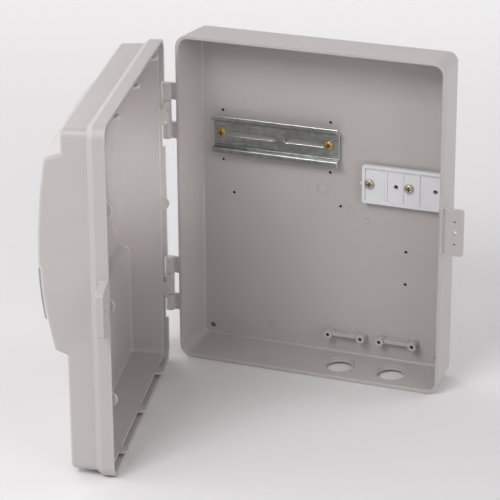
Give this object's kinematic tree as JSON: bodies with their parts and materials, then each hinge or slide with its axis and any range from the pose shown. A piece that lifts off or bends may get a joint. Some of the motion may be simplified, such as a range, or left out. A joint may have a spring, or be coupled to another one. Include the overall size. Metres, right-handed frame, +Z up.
{
  "type": "electric meter box",
  "caption": "Wall-mounted electric meter enclosure with a hinged domed lid, clear window flap, top-hat rail, terminal plate, cable clamp posts and cable entries.",
  "frame": {"origin": "on the wall plane, at the centre of the rectangle of wall fixing holes, which is also the centre of the back box", "axes": "+X to the right seen from the front, towards the latch flange; +Y into the wall; +Z up"},
  "size_m": [0.3316, 0.3209, 0.31],
  "materials": {
    "grey_plastic": "satin moulded plastic",
    "clear_plastic": "clear polished plastic",
    "zinc_steel": "zinc-plated sheet",
    "yellow_zinc_steel": "yellow zinc-plated",
    "brass": "bright brass",
    "white_plastic": "glossy white plastic",
    "pin_steel": "plain steel wire"
  },
  "bodies": {
    "base": {"back_box": "grey_plastic", "upper_hinge_pin": "pin_steel", "lower_hinge_pin": "pin_steel", "din_rail": "zinc_steel", "rail_screw_left": "yellow_zinc_steel", "rail_screw_right": "yellow_zinc_steel", "terminal_plate": "white_plastic", "plate_screw_left": "brass", "plate_screw_right": "brass"},
    "lid": {"lid": "grey_plastic"},
    "flap": {"window_flap": "clear_plastic"}
  },
  "joints": [
    {"name": "lid_hinge", "type": "hinge", "parent": "base", "child": "lid", "pos_m": [-0.1334, -0.04865, 0], "axis": [0, 0, -1], "range_deg": [-77.5, 77.5]},
    {"name": "flap_hinge", "type": "hinge", "parent": "lid", "child": "flap", "pos_m": [-0.14417, -0.26501, 0.036], "axis": [-0.2164, 0.9763, 0], "range_deg": [0, 95]}
  ]
}
